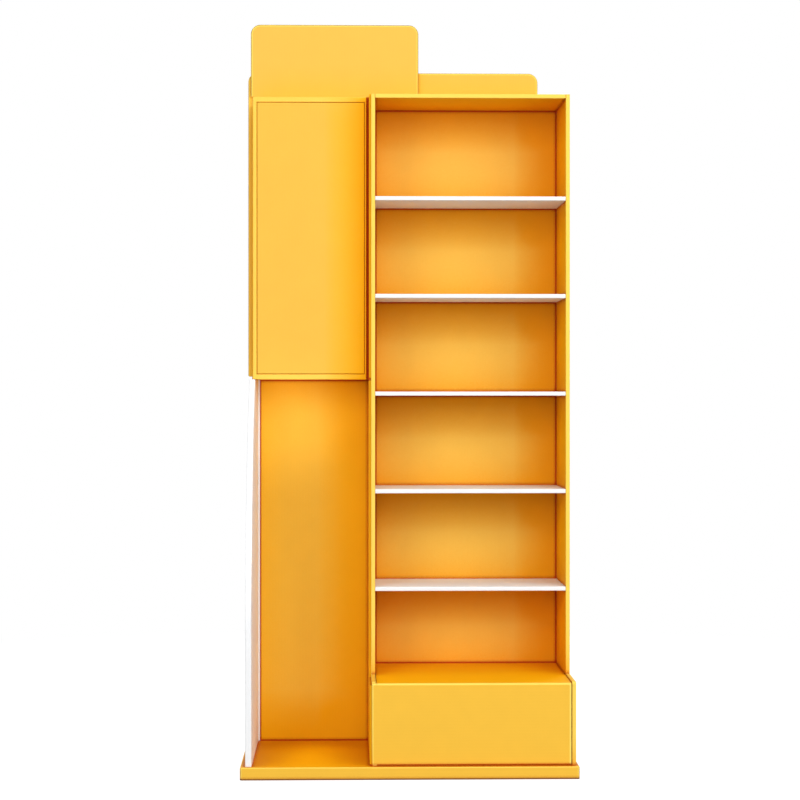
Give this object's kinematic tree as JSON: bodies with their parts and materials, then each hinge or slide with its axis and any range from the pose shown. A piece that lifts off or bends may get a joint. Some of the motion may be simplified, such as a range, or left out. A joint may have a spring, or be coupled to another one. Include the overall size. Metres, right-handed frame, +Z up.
{
  "type": "display rack",
  "caption": "Free-standing card display rack: shelf tower over a storage box, open bay with a curved side panel under a closed sign box, and rounded header cards",
  "frame": {"origin": "middle of the base on the floor", "axes": "+Z up, +X to the viewer's right as it faces the viewer, the open front faces -Y"},
  "size_m": [0.8, 0.4, 1.84],
  "materials": {
    "printed_yellow_board": "matt print",
    "white_board": "matt coated",
    "kraft_board": "bare kraft"
  },
  "bodies": {
    "root": {"base_tray": "printed_yellow_board", "tower_left_side": "printed_yellow_board", "tower_right_side": "printed_yellow_board", "tower_back": "printed_yellow_board", "tower_top": "printed_yellow_board", "storage_cover": "printed_yellow_board", "bay_back": "printed_yellow_board", "sign_box_sleeve": "printed_yellow_board", "sign_box_front": "printed_yellow_board", "sign_box_spacer": "printed_yellow_board", "rear_header": "printed_yellow_board", "front_header": "printed_yellow_board", "shelf_1": "white_board", "shelf_2": "white_board", "shelf_3": "white_board", "shelf_4": "white_board", "shelf_5": "white_board", "left_side_panel": "white_board", "base_rib_long": "kraft_board", "base_rib_cross_1": "kraft_board", "base_rib_cross_2": "kraft_board", "base_rib_cross_3": "kraft_board", "storage_rib_long": "kraft_board", "storage_rib_cross": "kraft_board"}
  },
  "joints": []
}
